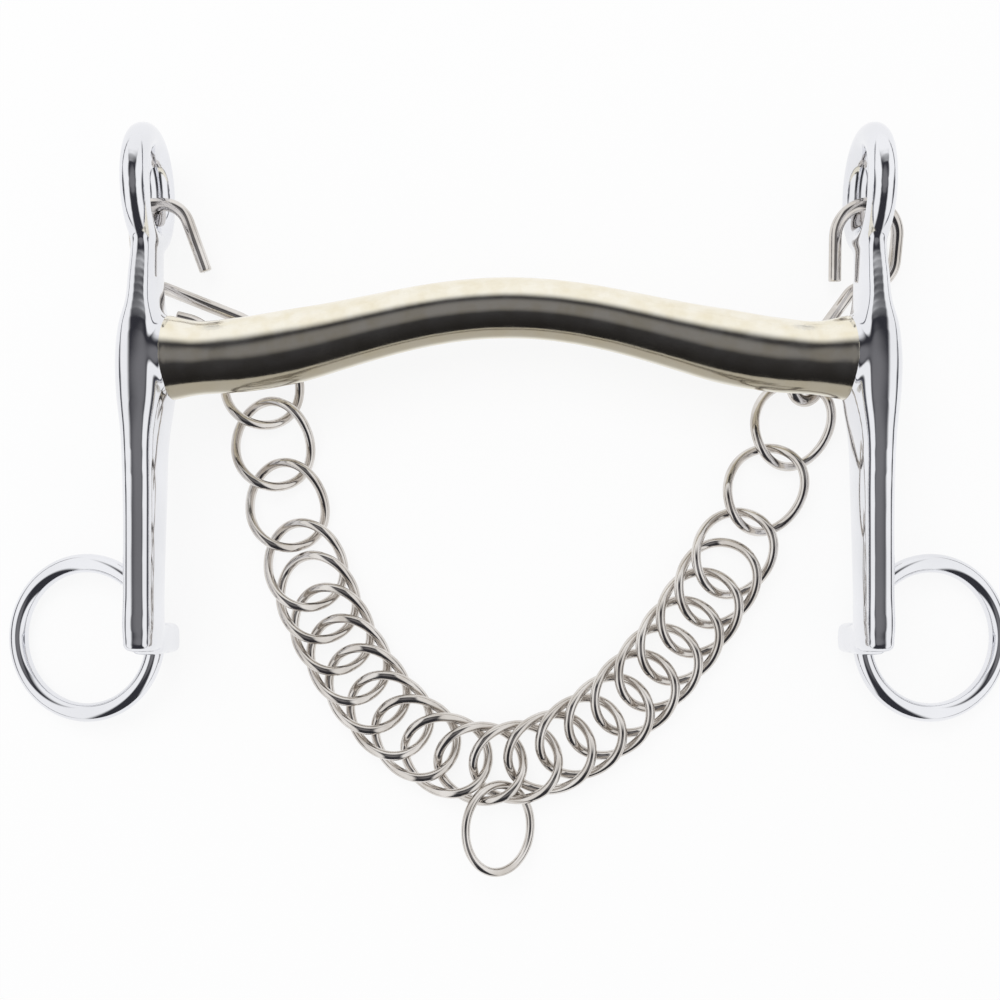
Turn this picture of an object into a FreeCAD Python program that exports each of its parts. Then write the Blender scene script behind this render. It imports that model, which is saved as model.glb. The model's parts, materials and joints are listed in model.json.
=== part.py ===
"""Curb bit (Weymouth pattern) with curb hooks, double-link curb chain, fly link and rein rings.

The bit lies on its back: X runs along the mouthpiece, Y runs from the feet of the cheeks to
their eyes, and Z points away from the surface that it lies on.
"""
import FreeCAD, Part
import math
import os

from FreeCAD import Placement, Rotation, Vector

# ---------------------------------------------------------------- driving dimensions (mm, degrees)
SIZES = [
    # mouthpiece
    ("mouth_width", 139.0, "between the inner faces of the cheeks"),
    ("bar_axis_height", 14.8, "mouthpiece axis above the surface"),
    ("bar_middle_diameter", 12.4, "mouthpiece at the middle of the port"),
    ("bar_end_diameter", 15.2, "mouthpiece near the cheeks"),
    ("flare_diameter", 17.2, "mouthpiece where it meets the cheek"),
    ("flare_length", 5.0, "length of the flare at each end"),
    ("port_rise", 10.4, "rise of the low port over the bar ends"),
    ("port_span", 132.0, "width of the port, from foot to foot"),
    ("tenon_diameter", 8.0, "tenon that goes into the cheek"),
    ("tenon_length", 6.0, "length of the tenon"),
    # cheek
    ("junction_width", 11.0, "cheek at the mouthpiece, along X"),
    ("junction_depth", 18.6, "cheek at the mouthpiece, along Z"),
    ("neck_width", 5.9, "cheek between junction and eye, along X"),
    ("neck_depth", 13.0, "cheek between junction and eye, along Z"),
    ("shank_width", 7.4, "lower cheek, along X"),
    ("shank_depth", 15.6, "lower cheek under the junction, along Z"),
    ("shank_end_depth", 12.8, "lower cheek at its end, along Z"),
    ("shank_front", 23.6, "height of the front of the lower cheek"),
    ("cheek_below_bar", 60.6, "length of the cheek below the mouthpiece axis"),
    ("eye_above_bar", 35.2, "eye centre above the mouthpiece axis"),
    ("eye_height", 13.5, "eye centre above the surface"),
    ("eye_hole", 15.4, "hole of the eye"),
    ("eye_wire", 5.8, "thickness of the eye"),
    ("foot_width", 7.0, "foot along X"),
    ("foot_length", 6.6, "foot along Y"),
    ("foot_corner", 2.2, "rounding of the foot's long edges"),
    ("foot_edge", 1.0, "rounding of the foot's resting end"),
    ("foot_overhang", 0.9, "foot beyond the end of the lower cheek"),
    ("ring_hole", 5.2, "hole in the foot for the rein ring"),
    ("ring_hole_height", 8.5, "hole axis above the resting end of the foot"),
    ("strap_loop_drop", 28.0, "lip strap loop below the mouthpiece axis"),
    ("strap_loop_diameter", 7.6, "lip strap loop, outside"),
    ("strap_loop_wire", 2.4, "thickness of the lip strap loop"),
    # rein ring
    ("ring_diameter", 36.0, "rein ring, outside"),
    ("ring_wire", 4.0, "thickness of the rein ring"),
    # curb hook
    ("hook_wire", 2.7, "wire of the curb hook"),
    ("hook_loop_inner", 5.5, "inner leg of the hook's eye loop, in from the cheek's middle"),
    ("left_loop_outer", 5.0, "outer leg of the left eye loop, out from the cheek's middle"),
    ("right_loop_outer", 8.2, "outer leg of the right eye loop, out from the cheek's middle"),
    ("left_cut_in", 10.0, "cut end of the left hook, in from the cheek's middle"),
    ("right_cut_in", 5.0, "cut end of the right hook, in from the cheek's middle"),
    ("left_cut_above", 20.4, "cut end of the left hook above the mouthpiece axis"),
    ("right_cut_above", 18.2, "cut end of the right hook above the mouthpiece axis"),
    ("hook_bend", 3.3, "centreline radius of the lower bend"),
    ("hook_bend_tilt", 25.0, "tilt of the lower bend off the surface"),
    ("hook_return", 15.0, "length of the return leg"),
    ("hook_fit", 0.3, "air between the hook and the surface"),
    ("hook_eye_fit", 0.4, "air between the hook and the eye"),
    ("hook_cut_rise", 3.1, "cut end of the hook's wire above its shank"),
    ("hook_tip_length", 3.5, "length of the turned tip"),
    ("hook_tip_turn", 1.2, "how far the tip turns out from the return leg"),
    ("left_hook_reach", 20.5, "left lower bend in from the cheek centre"),
    ("left_hook_drop", -5.5, "left lower bend below the mouthpiece axis"),
    ("left_hook_in", 1.3, "left lower bend further in than the chain's end"),
    ("left_hook_lower", 1.0, "left lower bend lower than the chain's end"),
    ("right_hook_reach", 11.0, "right lower bend in from the cheek centre"),
    ("right_hook_drop", 3.8, "right lower bend below the mouthpiece axis"),
    # curb chain
    ("link_length", 20.4, "chain link, outside"),
    ("link_width", 18.0, "chain link, outside"),
    ("link_wire", 2.0, "wire of the chain link"),
    ("link_twist", 2.4, "rise and fall of the twisted link's centreline"),
    ("left_slack", 2.9, "play between the ends of two single links on the left"),
    ("right_slack", 1.1, "play between the ends of two single links on the right"),
    ("double_slack", 1.5, "play between a link and the next but one"),
    ("seat_play", 0.35, "play of the end links in the hooks"),
    ("fly_room", 0.2, "extra step of the links that the fly link reaches"),
    # fly link
    ("fly_length", 20.8, "fly link, outside"),
    ("fly_width", 17.0, "fly link, outside"),
    ("fly_wire", 1.9, "wire of the fly link"),
    ("fly_shift", 3.885, "fly link's middle along X from the middle of the link that it hangs on"),
    ("fly_drop", 13.636, "fly link's middle below the middle of the link that it hangs on"),
    ("fly_height", 5.327, "fly link's middle above the surface"),
    ("fly_yaw", -14.15, "turn of the fly link about Z"),
    ("fly_pitch", -21.6, "lift of the fly link's far end, about its X"),
    ("fly_roll", 21.43, "roll of the fly link about its long axis"),
]
SINGLES_LEFT, DOUBLES, SINGLES_RIGHT = 3, 19, 2
LEAN_LEFT, LEAN_RIGHT, RIGHT_SHARE = 15.0, 38.0, 0.9   # how the hanging chain leans at its ends
FLY_STEPS = range(9, 13)        # steps of the chain that the fly link reaches
FLY_AT = 11                     # place in the chain of the link that it hangs on, counted from 0


# ---------------------------------------------------------------- document and its sheet of sizes
doc = FreeCAD.newDocument("CurbBit")
sheet = doc.addObject("Spreadsheet::Sheet", "Sizes")


def add_size(name, content, note):
    """Write one size into the next row of the sheet and give its cell an alias."""
    row = add_size.rows = add_size.rows + 1
    sheet.set("A%d" % row, name)
    sheet.set("B%d" % row, str(content))
    sheet.set("C%d" % row, note)
    sheet.setAlias("B%d" % row, name)


add_size.rows = 0
for size_name, size_value, size_note in SIZES:
    add_size(size_name, size_value, size_note)
add_size("cheek_x", "=mouth_width / 2 + junction_width / 2", "middle plane of a cheek")
add_size("eye_major", "=(eye_hole + eye_wire) / 2", "centreline radius of the eye")
add_size("double_pitch", "=(link_length - 2 * link_wire - double_slack) / 2", "step of the double links")
add_size("left_pitch", "=link_length - 2 * link_wire - left_slack", "step of the left single links")
add_size("right_pitch", "=link_length - 2 * link_wire - right_slack", "step of the right single links")
add_size("link_height", "=link_twist + link_wire / 2", "middle of a link above the surface")
doc.recompute()


def size(name):
    """Value of one cell of the sheet."""
    return float(sheet.get(name))


# ---------------------------------------------------------------- the hanging chain's route
def bezier(points, share):
    """Point of a cubic Bezier curve."""
    rest = 1.0 - share
    return (points[0] * rest ** 3 + points[1] * (3 * rest ** 2 * share)
            + points[2] * (3 * rest * share ** 2) + points[3] * share ** 3)


def arc_lengths(points, steps=600):
    """Points along the curve with the length of curve up to each of them."""
    placed = [bezier(points, k / steps) for k in range(steps + 1)]
    lengths = [0.0]
    for before, after in zip(placed, placed[1:]):
        lengths.append(lengths[-1] + after.distanceToPoint(before))
    return placed, lengths


def hang_route(left_seat, right_seat, length):
    """Curve of the given length that hangs from one hook to the other."""
    low, high = 5.0, 2.0 * length
    for _ in range(50):
        drop = (low + high) / 2
        points = [left_seat, left_seat + Vector(LEAN_LEFT, -drop, 0),
                  right_seat + Vector(-LEAN_RIGHT, -RIGHT_SHARE * drop, 0), right_seat]
        if arc_lengths(points)[1][-1] < length:
            low = drop
        else:
            high = drop
    return points


def chain_stations():
    """Centre and heading of every link, measured from the mouthpiece axis."""
    left_seat = Vector(size("left_hook_reach") - size("cheek_x"), -size("left_hook_drop"), 0)
    right_seat = Vector(size("cheek_x") - size("right_hook_reach"), -size("right_hook_drop"), 0)
    end_run = (size("link_length") - size("link_wire")) / 2 - size("seat_play")
    steps = ([size("left_pitch")] * SINGLES_LEFT + [size("double_pitch")] * (DOUBLES - 1)
             + [size("right_pitch")] * SINGLES_RIGHT)
    for k in FLY_STEPS:
        steps[k] += size("fly_room")
    points = hang_route(left_seat, right_seat, 2 * end_run + sum(steps))
    placed, lengths = arc_lengths(points)
    stations, run, k = [], end_run, 0
    for step in steps + [0.0]:
        while lengths[k + 1] < run:
            k += 1
        share = (run - lengths[k]) / (lengths[k + 1] - lengths[k])
        along = placed[k + 1] - placed[k]
        stations.append((placed[k] + along * share, math.atan2(along.y, along.x)))
        run += step
    return left_seat, right_seat, stations


left_seat, right_seat, stations = chain_stations()
fly_turn = (Rotation(Vector(0, 0, 1), size("fly_yaw")) * Rotation(Vector(1, 0, 0), size("fly_pitch"))
            * Rotation(Vector(0, 1, 0), size("fly_roll")))
fly_middle = stations[FLY_AT][0] + Vector(size("fly_shift"), -size("fly_drop"), size("fly_height"))
fly_half_width = (size("fly_width") - size("fly_wire")) / 2
fly_half_length = (size("fly_length") - size("fly_wire")) / 2
end_y = (fly_middle.y - size("fly_wire") / 2
         - math.hypot(fly_half_width * fly_turn.multVec(Vector(1, 0, 0)).y,
                      fly_half_length * fly_turn.multVec(Vector(0, 1, 0)).y))
eye_top = size("eye_above_bar") + size("eye_hole") / 2 + size("eye_wire")
add_size("bar_y", -(eye_top + end_y) / 2, "mouthpiece axis ahead of the middle of the whole bit")
doc.recompute()
BAR = Vector(0, size("bar_y"), 0)


# ---------------------------------------------------------------- helpers for document objects
def add(kind, name, **bound):
    """Add an object and bind its properties to expressions; a dot in a property is written as __."""
    made = doc.addObject(kind, name)
    for prop, expression in bound.items():
        made.setExpression(prop.replace("__", "."), expression)
    return made


def named(made, label):
    """Give a finished sub-part its own label."""
    made.Label = label
    finished.append(made)
    return made


finished = []


def at(x, y, z, turn="rotation(vector(0; 0; 1); 0)"):
    """Placement expression from three coordinate expressions and a turn."""
    return "placement(vector(%s; %s; %s); %s)" % (x, y, z, turn)


ALONG_X = "rotation(vector(0; 1; 0); 90)"       # turns an axis from Z to X
ALONG_Y = "rotation(vector(1; 1; 1); -120)"     # normal along Y, major axis along Z


def fuse(name, *pieces):
    """Union of several objects."""
    made = doc.addObject("Part::MultiFuse", name)
    made.Shapes = list(pieces)
    return made


def cut(name, base, tool):
    """Base with the tool taken away."""
    made = doc.addObject("Part::Cut", name)
    made.Base, made.Tool = base, tool
    return made


def loft(name, sections):
    """Smooth solid through closed sections."""
    made = doc.addObject("Part::Loft", name)
    made.Sections = sections
    made.Solid, made.Ruled = True, False
    return made


# ---------------------------------------------------------------- mouthpiece
def build_mouthpiece():
    """Bar of round sections along a low cosine port, flared at the ends, with a tenon at each."""
    flare_share = "(1 - 2 * Sizes.flare_length / Sizes.mouth_width)"
    port = "(Sizes.bar_middle_diameter / 2 + (Sizes.bar_end_diameter - Sizes.bar_middle_diameter) / 2 * %s)"
    shares = [("0", port % "0"), ("0.12", port % "0.01"), ("0.24", port % "0.06"), ("0.36", port % "0.18"),
              ("0.5", port % "0.5"), ("0.64", port % "0.95"), ("0.8", port % "1"), (flare_share, port % "1"),
              ("1", "Sizes.flare_diameter / 2")]
    ordered = [("-" + share, radius) for share, radius in shares[:0:-1]] + shares
    sections = []
    for k, (share, radius) in enumerate(ordered):
        x = "(Sizes.mouth_width / 2 * %s)" % share
        inside = "min(180; max(-180; 360 * %s / Sizes.port_span))" % x
        y = "Sizes.bar_y + Sizes.port_rise / 2 * (1 + cos(%s))" % inside
        slope = "-atan(pi * Sizes.port_rise / Sizes.port_span * sin(%s))" % inside
        turn = "rotation(vector(0; 0; 1); %s) * %s" % (slope, ALONG_X)
        sections.append(add("Part::Circle", "BarSection%02d" % k, Radius=radius,
                            Placement=at(x, y, "Sizes.bar_axis_height", turn)))
    bar = loft("Bar", sections)
    tenons = []
    for side, start in (("Left", "-Sizes.mouth_width / 2 - Sizes.tenon_length"),
                        ("Right", "Sizes.mouth_width / 2 - 1")):
        tenons.append(add("Part::Cylinder", side + "Tenon", Radius="Sizes.tenon_diameter / 2",
                          Height="Sizes.tenon_length + 1",
                          Placement=at(start, "Sizes.bar_y", "Sizes.bar_axis_height", ALONG_X)))
    return named(fuse("Mouthpiece", bar, *tenons), "mouthpiece")


# ---------------------------------------------------------------- cheeks
def cheek_sections():
    """Height above the bar axis, half width, half depth and middle height of the cheek's sections."""
    neck_middle = "Sizes.bar_axis_height + 0.3"
    lower = "(-Sizes.cheek_below_bar * %s)"
    depth = "(Sizes.shank_depth + (Sizes.shank_end_depth - Sizes.shank_depth) * %s) / 2"
    front = "Sizes.shank_front - "
    return [
        ("Sizes.eye_above_bar - Sizes.eye_hole / 2 - 1", "Sizes.eye_wire * 0.42", "Sizes.eye_hole * 0.44",
         "Sizes.eye_height + 0.2"),
        ("Sizes.eye_above_bar - Sizes.eye_major - Sizes.eye_wire / 2", "Sizes.neck_width * 0.46",
         "Sizes.neck_depth * 0.49", "Sizes.eye_height + 0.7"),
        ("Sizes.eye_above_bar / 2 - 1", "Sizes.neck_width / 2", "Sizes.neck_depth / 2", neck_middle),
        ("Sizes.junction_depth * 0.58", "(Sizes.neck_width + Sizes.junction_width) * 0.21",
         "Sizes.junction_depth * 0.41", neck_middle),
        ("Sizes.junction_depth * 0.33", "Sizes.junction_width * 0.44", "Sizes.junction_depth * 0.475",
         "Sizes.bar_axis_height"),
        ("0", "Sizes.junction_width / 2", "Sizes.junction_depth / 2", "Sizes.bar_axis_height"),
        (lower % "0.12", "Sizes.junction_width * 0.48", "Sizes.junction_depth * 0.485",
         "Sizes.bar_axis_height + 0.3"),
        (lower % "0.27", "(Sizes.junction_width + Sizes.shank_width) * 0.225",
         "(Sizes.junction_depth + Sizes.shank_depth) / 4", "Sizes.bar_axis_height + 0.9"),
        (lower % "0.48", "Sizes.shank_width / 2", depth % "0", front + depth % "0"),
        (lower % "0.8", "Sizes.shank_width * 0.48", depth % "0.7", front + depth % "0.7"),
        (lower % "0.96", "Sizes.shank_width * 0.47", depth % "1", front + depth % "1"),
        (lower % "0.99", "Sizes.shank_width * 0.43", depth % "1" + " - 0.4", front + depth % "1"),
        (lower % "1", "Sizes.shank_width * 0.34", depth % "1" + " - 1.3", front + depth % "1"),
    ]


def rounded_foot():
    """Rearward foot: a block whose long edges and resting end are rounded."""
    block = add("Part::Box", "FootBlock", Length="Sizes.foot_width", Width="Sizes.foot_length",
                Height="Sizes.bar_axis_height",
                Placement=at("Sizes.cheek_x - Sizes.foot_width / 2",
                             "Sizes.bar_y - Sizes.cheek_below_bar - Sizes.foot_overhang", "0"))
    doc.recompute()
    long_edges, end_edges = [], []
    for number, edge in enumerate(block.Shape.Edges, 1):
        low, high = edge.BoundBox.ZMin, edge.BoundBox.ZMax
        if high - low > size("bar_axis_height") / 2:
            long_edges.append((number, size("foot_corner"), size("foot_corner")))
        elif high < size("bar_axis_height") / 2:
            end_edges.append((number, size("foot_edge"), size("foot_edge")))
    foot = doc.addObject("Part::Fillet", "Foot")
    foot.Base = block
    foot.Edges = long_edges + end_edges
    return foot


def build_right_cheek():
    """Eye, neck, junction, lower cheek, foot and lip strap loop in one forging."""
    sections = []
    for k, (y, half_width, half_depth, middle) in enumerate(cheek_sections()):
        sections.append(add("Part::Ellipse", "CheekSection%02d" % k, MajorRadius=half_depth,
                            MinorRadius=half_width,
                            Placement=at("Sizes.cheek_x", "Sizes.bar_y + " + y, middle, ALONG_Y)))
    stem = loft("CheekStem", sections)
    eye = add("Part::Torus", "Eye", Radius1="Sizes.eye_major", Radius2="Sizes.eye_wire / 2",
              Placement=at("Sizes.cheek_x", "Sizes.bar_y + Sizes.eye_above_bar", "Sizes.eye_height", ALONG_X))
    seat = add("Part::Cone", "BarSeat", Radius1="Sizes.flare_diameter / 2",
               Radius2="Sizes.flare_diameter / 2 + 0.5", Height="Sizes.junction_width / 2",
               Placement=at("Sizes.mouth_width / 2", "Sizes.bar_y", "Sizes.bar_axis_height", ALONG_X))
    strap_loop = add("Part::Torus", "StrapLoop",
                     Radius1="(Sizes.strap_loop_diameter - Sizes.strap_loop_wire) / 2",
                     Radius2="Sizes.strap_loop_wire / 2",
                     Placement=at("Sizes.cheek_x", "Sizes.bar_y - Sizes.strap_loop_drop",
                                  "Sizes.shank_front - Sizes.shank_depth", ALONG_X))
    solid = fuse("CheekSolid", stem, eye, seat, rounded_foot(), strap_loop)
    bore = add("Part::Cylinder", "TenonBore", Radius="Sizes.tenon_diameter / 2",
               Height="Sizes.tenon_length + 1",
               Placement=at("Sizes.mouth_width / 2 - 1", "Sizes.bar_y", "Sizes.bar_axis_height", ALONG_X))
    hole = add("Part::Cylinder", "RingHole", Radius="Sizes.ring_hole / 2", Height="Sizes.foot_length + 4",
               Placement=at("Sizes.cheek_x",
                            "Sizes.bar_y - Sizes.cheek_below_bar - Sizes.foot_overhang - 2",
                            "Sizes.ring_hole_height", "rotation(vector(1; 0; 0); -90)"))
    return named(cut("RightCheek", solid, fuse("CheekHoles", bore, hole)), "right_cheek")


def mirrored(name, source, label):
    """Copy of a sub-part on the other side of the middle plane."""
    made = doc.addObject("Part::Mirroring", name)
    made.Source = source
    made.Normal = Vector(1, 0, 0)
    return named(made, label)


# ---------------------------------------------------------------- rein rings
def build_rein_ring():
    """Ring through the foot's hole, its outer edge on the surface that the bit lies on."""
    run = "(Sizes.ring_diameter / 2 - Sizes.ring_wire / 2)"
    sag = "(%s - sqrt(%s ^ 2 - Sizes.foot_length ^ 2 / 4)) / 2" % (run, run)
    reach = "(%s - %s)" % (run, sag)
    tilt = "asin((Sizes.ring_hole_height - Sizes.ring_wire / 2) / (%s + %s))" % (reach, run)
    return named(add("Part::Torus", "RightReinRing", Radius1=run, Radius2="Sizes.ring_wire / 2",
                     Placement=at("Sizes.cheek_x + %s * cos(%s)" % (reach, tilt),
                                  "Sizes.bar_y - Sizes.cheek_below_bar - Sizes.foot_overhang"
                                  " + Sizes.foot_length / 2",
                                  "Sizes.ring_hole_height - %s * sin(%s)" % (reach, tilt),
                                  "rotation(vector(0; 1; 0); %s)" % tilt)), "right_rein_ring")


# ---------------------------------------------------------------- wire forms
def wire_path(points, radii):
    """Straight runs joined by tangent arcs: one radius for each inner point."""
    edges, start = [], points[0]
    for before, corner, after, radius in zip(points, points[1:], points[2:], radii):
        incoming = (corner - before).normalize()
        outgoing = (after - corner).normalize()
        turn = incoming.getAngle(outgoing)
        trim = radius * math.tan(turn / 2)
        first, last = corner - incoming * trim, corner + outgoing * trim
        middle = corner - (incoming - outgoing).normalize() * (radius / math.cos(turn / 2) - radius)
        if start.distanceToPoint(first) > 0.001:
            edges.append(Part.LineSegment(start, first).toShape())
        edges.append(Part.Arc(first, middle, last).toShape())
        start = last
    edges.append(Part.LineSegment(start, points[-1]).toShape())
    return Part.Wire(edges)


def swept_wire(path, thickness):
    """Round wire along a path, with its sweep checked against section times length."""
    first = path.Edges[0]
    heading = first.tangentAt(first.FirstParameter)
    section = Part.Wire([Part.makeCircle(thickness / 2, first.valueAt(first.FirstParameter), heading)])
    sweep = Part.BRepOffsetAPI.MakePipeShell(path)
    sweep.setFrenetMode(True)
    sweep.add(section)
    sweep.build()
    sweep.makeSolid()
    solid = sweep.shape()
    expected = math.pi * thickness ** 2 / 4 * path.Length
    if not solid.isValid() or abs(solid.Volume / expected - 1) > 0.02:
        raise RuntimeError("a wire form did not come out: %.1f of %.1f mm3" % (solid.Volume, expected))
    return solid


def wire_part(name, label, solid, placement):
    """Sub-part made of bent wire."""
    made = doc.addObject("Part::Feature", name)
    made.Shape = solid
    made.Placement = placement
    return named(made, label)


# ---------------------------------------------------------------- curb hooks
def hook_points(name, seat, lift):
    """Centreline corners of a right-hand hook, its lower bend round the seat, and their radii.

    The wire starts at its cut end, goes up beside the neck, through the eye, down the outside and
    round behind the neck, then runs to the lower bend and back. lift is +1 where the incoming leg
    of the lower bend lies higher than the return leg, and -1 where it lies lower.
    """
    cheek_x, half_wire = size("cheek_x"), size("hook_wire") / 2
    eye_y, eye_z = size("eye_above_bar"), size("eye_height")
    inner_x, outer_x = cheek_x - size("hook_loop_inner"), cheek_x + size(name + "_loop_outer")
    loop_radius, middle_x = (outer_x - inner_x) / 2, (outer_x + inner_x) / 2
    rest_z = half_wire + size("hook_fit")
    inside_eye = size("eye_hole") / 2 - half_wire - size("hook_eye_fit")
    low_y = size("eye_above_bar") / 2 + 0.6
    top = Vector(0, eye_y - inside_eye * 0.21, eye_z - inside_eye * 0.98)
    bottom = Vector(0, low_y, rest_z)
    up = (top - bottom).normalize()
    top = top + up * (loop_radius - math.sqrt(loop_radius ** 2 - (middle_x - cheek_x) ** 2))
    cut_end = Vector(cheek_x - size(name + "_cut_in"), size(name + "_cut_above"),
                     rest_z + size("hook_cut_rise"))
    start = Vector(cheek_x - 0.2, low_y - 0.6, rest_z)
    run = seat - start
    run.z = 0
    run.normalize()
    outward = Vector(-run.y, run.x, 0)
    bend, tilt = size("hook_bend"), math.radians(size("hook_bend_tilt"))
    across = (Vector(0, 0, lift * math.sin(tilt)) - outward * math.cos(tilt)) * bend
    leave = seat + across - run * (2.2 * bend)
    tip = seat - across - run * size("hook_return")
    flare = (outward + Vector(0, 0, 0.5)) * size("hook_tip_turn") - run * size("hook_tip_length")
    points = [cut_end, top + Vector(inner_x, 0, 0), top + Vector(outer_x, 0, 0),
              bottom + Vector(outer_x, 0, 0), start, leave, seat + across + run * bend,
              seat - across + run * bend, tip, tip + flare]
    radii = [loop_radius * 0.98, loop_radius * 0.98, loop_radius * 0.8, 4.5, 9.0, bend, bend, 6.0]
    return points, radii


def build_hook(side, seat, lift):
    """Curb hook of one side: side is +1 for the right and -1 for the left."""
    name = "right" if side > 0 else "left"
    seat = Vector(seat.x * side, seat.y, size("link_height"))
    points, radii = hook_points(name, seat, lift)
    points = [Vector(point.x * side, point.y, point.z) for point in points]
    solid = swept_wire(wire_path(points, radii), size("hook_wire"))
    return wire_part(name.title() + "CurbHook", name + "_curb_hook", solid, Placement(BAR, Rotation()))


# ---------------------------------------------------------------- curb chain and fly link
def oval_ring(half_length, half_width, twist, thickness, count=9):
    """Closed ring of wire: an oval whose height is minus the twist times the sine of twice its angle.

    Half of it is a loft through round sections square to the oval, and the other half is the first
    one turned over about the long axis. A twist of 0 gives a flat ring.
    """
    sections = []
    for k in range(count):
        angle = math.pi * k / (count - 1)
        centre = Vector(half_length * math.cos(angle), half_width * math.sin(angle),
                        -twist * math.sin(2 * angle))
        heading = Vector(-half_length * math.sin(angle), half_width * math.cos(angle),
                         -2 * twist * math.cos(2 * angle)).normalize()
        section = Part.makeCircle(thickness / 2, centre, heading)
        seam = section.valueAt(0) - centre
        outward = heading.cross(Vector(0, 0, 1))
        section.rotate(centre, heading, math.degrees(math.atan2(seam.cross(outward).dot(heading),
                                                                seam.dot(outward))))
        sections.append(Part.Wire([section]))
    half = Part.makeLoft(sections, True, False)
    other = half.copy()
    other.rotate(Vector(), Vector(1, 0, 0), 180)
    return half.fuse(other).Solids[0]


def build_chain():
    """Twisted links, each turned to the hanging route."""
    wire = size("link_wire")
    ring = oval_ring((size("link_length") - wire) / 2, (size("link_width") - wire) / 2,
                     size("link_twist"), wire)
    for number, (centre, heading) in enumerate(stations, 1):
        spot = BAR + centre + Vector(0, 0, size("link_height"))
        wire_part("Link%02d" % number, "link_%02d" % number, ring,
                  Placement(spot, Rotation(Vector(0, 0, 1), math.degrees(heading))))


def build_fly_link():
    """Plain oval ring that hangs through two links in the middle of the chain."""
    ring = oval_ring(fly_half_width, fly_half_length, 0, size("fly_wire"))
    wire_part("FlyLink", "fly_link", ring, Placement(BAR + fly_middle, fly_turn))


# ---------------------------------------------------------------- build, check and export
def check_document():
    """Stop if an object of the document failed or a sub-part is not a valid solid."""
    failed = [made.Name for made in doc.Objects if {"Invalid", "Error"} & set(made.State)]
    if failed:
        raise RuntimeError("failed objects: " + ", ".join(failed))
    for made in finished:
        if made.Shape.isNull() or not made.Shape.isValid() or not made.Shape.Solids:
            raise RuntimeError(made.Label + " is not a valid solid")


build_mouthpiece()
right_cheek = build_right_cheek()
mirrored("LeftCheek", right_cheek, "left_cheek")
right_ring = build_rein_ring()
mirrored("LeftReinRing", right_ring, "left_rein_ring")
build_hook(-1, left_seat + Vector(size("left_hook_in"), -size("left_hook_lower"), 0), -1)
build_hook(+1, right_seat, +1)
build_chain()
build_fly_link()
doc.recompute()
check_document()

os.makedirs("parts", exist_ok=True)
for made in finished:
    made.Shape.exportStep("parts/%s.step" % made.Label)
    box = made.Shape.BoundBox
    print("%-16s %8.1f mm3  X %7.2f %7.2f  Y %7.2f %7.2f  Z %6.2f %6.2f" % (
        made.Label, made.Shape.Volume, box.XMin, box.XMax, box.YMin, box.YMax, box.ZMin, box.ZMax))
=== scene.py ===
"""Curb bit with an arched mouthpiece, cheeks with rein rings, curb hooks, curb chain and fly link.

The file is laid out as an add-on: the sizes and finishes are property groups, each kind of piece
has an operator of its own, and one panel lists them. Lengths are in metres in the row's frame:
X along the mouthpiece, Y from the feet to the eyes, Z away from the table.
"""
import json
import math

import bpy
import numpy as np
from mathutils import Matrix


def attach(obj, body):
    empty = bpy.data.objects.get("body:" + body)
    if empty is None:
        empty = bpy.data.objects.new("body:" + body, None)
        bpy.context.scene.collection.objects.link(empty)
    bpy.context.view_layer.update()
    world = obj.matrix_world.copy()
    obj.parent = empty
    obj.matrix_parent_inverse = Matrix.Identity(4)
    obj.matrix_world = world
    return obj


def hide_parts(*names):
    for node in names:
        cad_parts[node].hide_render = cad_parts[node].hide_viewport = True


bl_info = {
    "name": "Curb Bit",
    "version": (1, 0, 0),
    "blender": (4, 5, 0),
    "location": "View3D > Sidebar > Curb Bit",
    "description": "Builds the polished surfaces of a curb bit over its engineering model",
    "category": "Object",
}

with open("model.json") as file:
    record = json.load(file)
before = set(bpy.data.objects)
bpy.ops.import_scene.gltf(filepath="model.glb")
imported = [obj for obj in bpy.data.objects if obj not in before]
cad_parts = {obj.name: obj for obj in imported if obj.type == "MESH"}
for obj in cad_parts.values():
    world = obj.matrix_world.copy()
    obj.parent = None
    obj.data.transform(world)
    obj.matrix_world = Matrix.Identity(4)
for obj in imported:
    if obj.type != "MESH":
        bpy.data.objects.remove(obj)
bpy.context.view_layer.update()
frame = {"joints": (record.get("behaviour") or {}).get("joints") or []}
JOINTS = {joint["name"]: joint for joint in frame["joints"]}
EYE = np.array(JOINTS["right_hook_swing"]["pos_m"])
RING_HOLE = np.array(JOINTS["right_ring_swing"]["pos_m"])
EYE_ABOVE_BAR = 0.0352
BAR_Y = EYE[1] - EYE_ABOVE_BAR
LINK_LIFT = 0.0010  # the links' middle lies their twist and this far above the table
SEAT_PLAY = 0.00035
CHEEK_VOXEL = 0.00034


# ---------------------------------------------------------------- sizes and finishes
def length(name, default, note):
    """A length property in metres."""
    return bpy.props.FloatProperty(name=name, description=note, default=default, min=0.0,
                                   subtype="DISTANCE", unit="LENGTH", precision=4)


def colour(name, default, note):
    """A colour property."""
    return bpy.props.FloatVectorProperty(name=name, description=note, default=default, size=3,
                                         min=0.0, max=1.0, subtype="COLOR")


def share(name, default, note):
    """A plain number from 0 to 1."""
    return bpy.props.FloatProperty(name=name, description=note, default=default, min=0.0, max=1.0,
                                   subtype="FACTOR")


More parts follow.
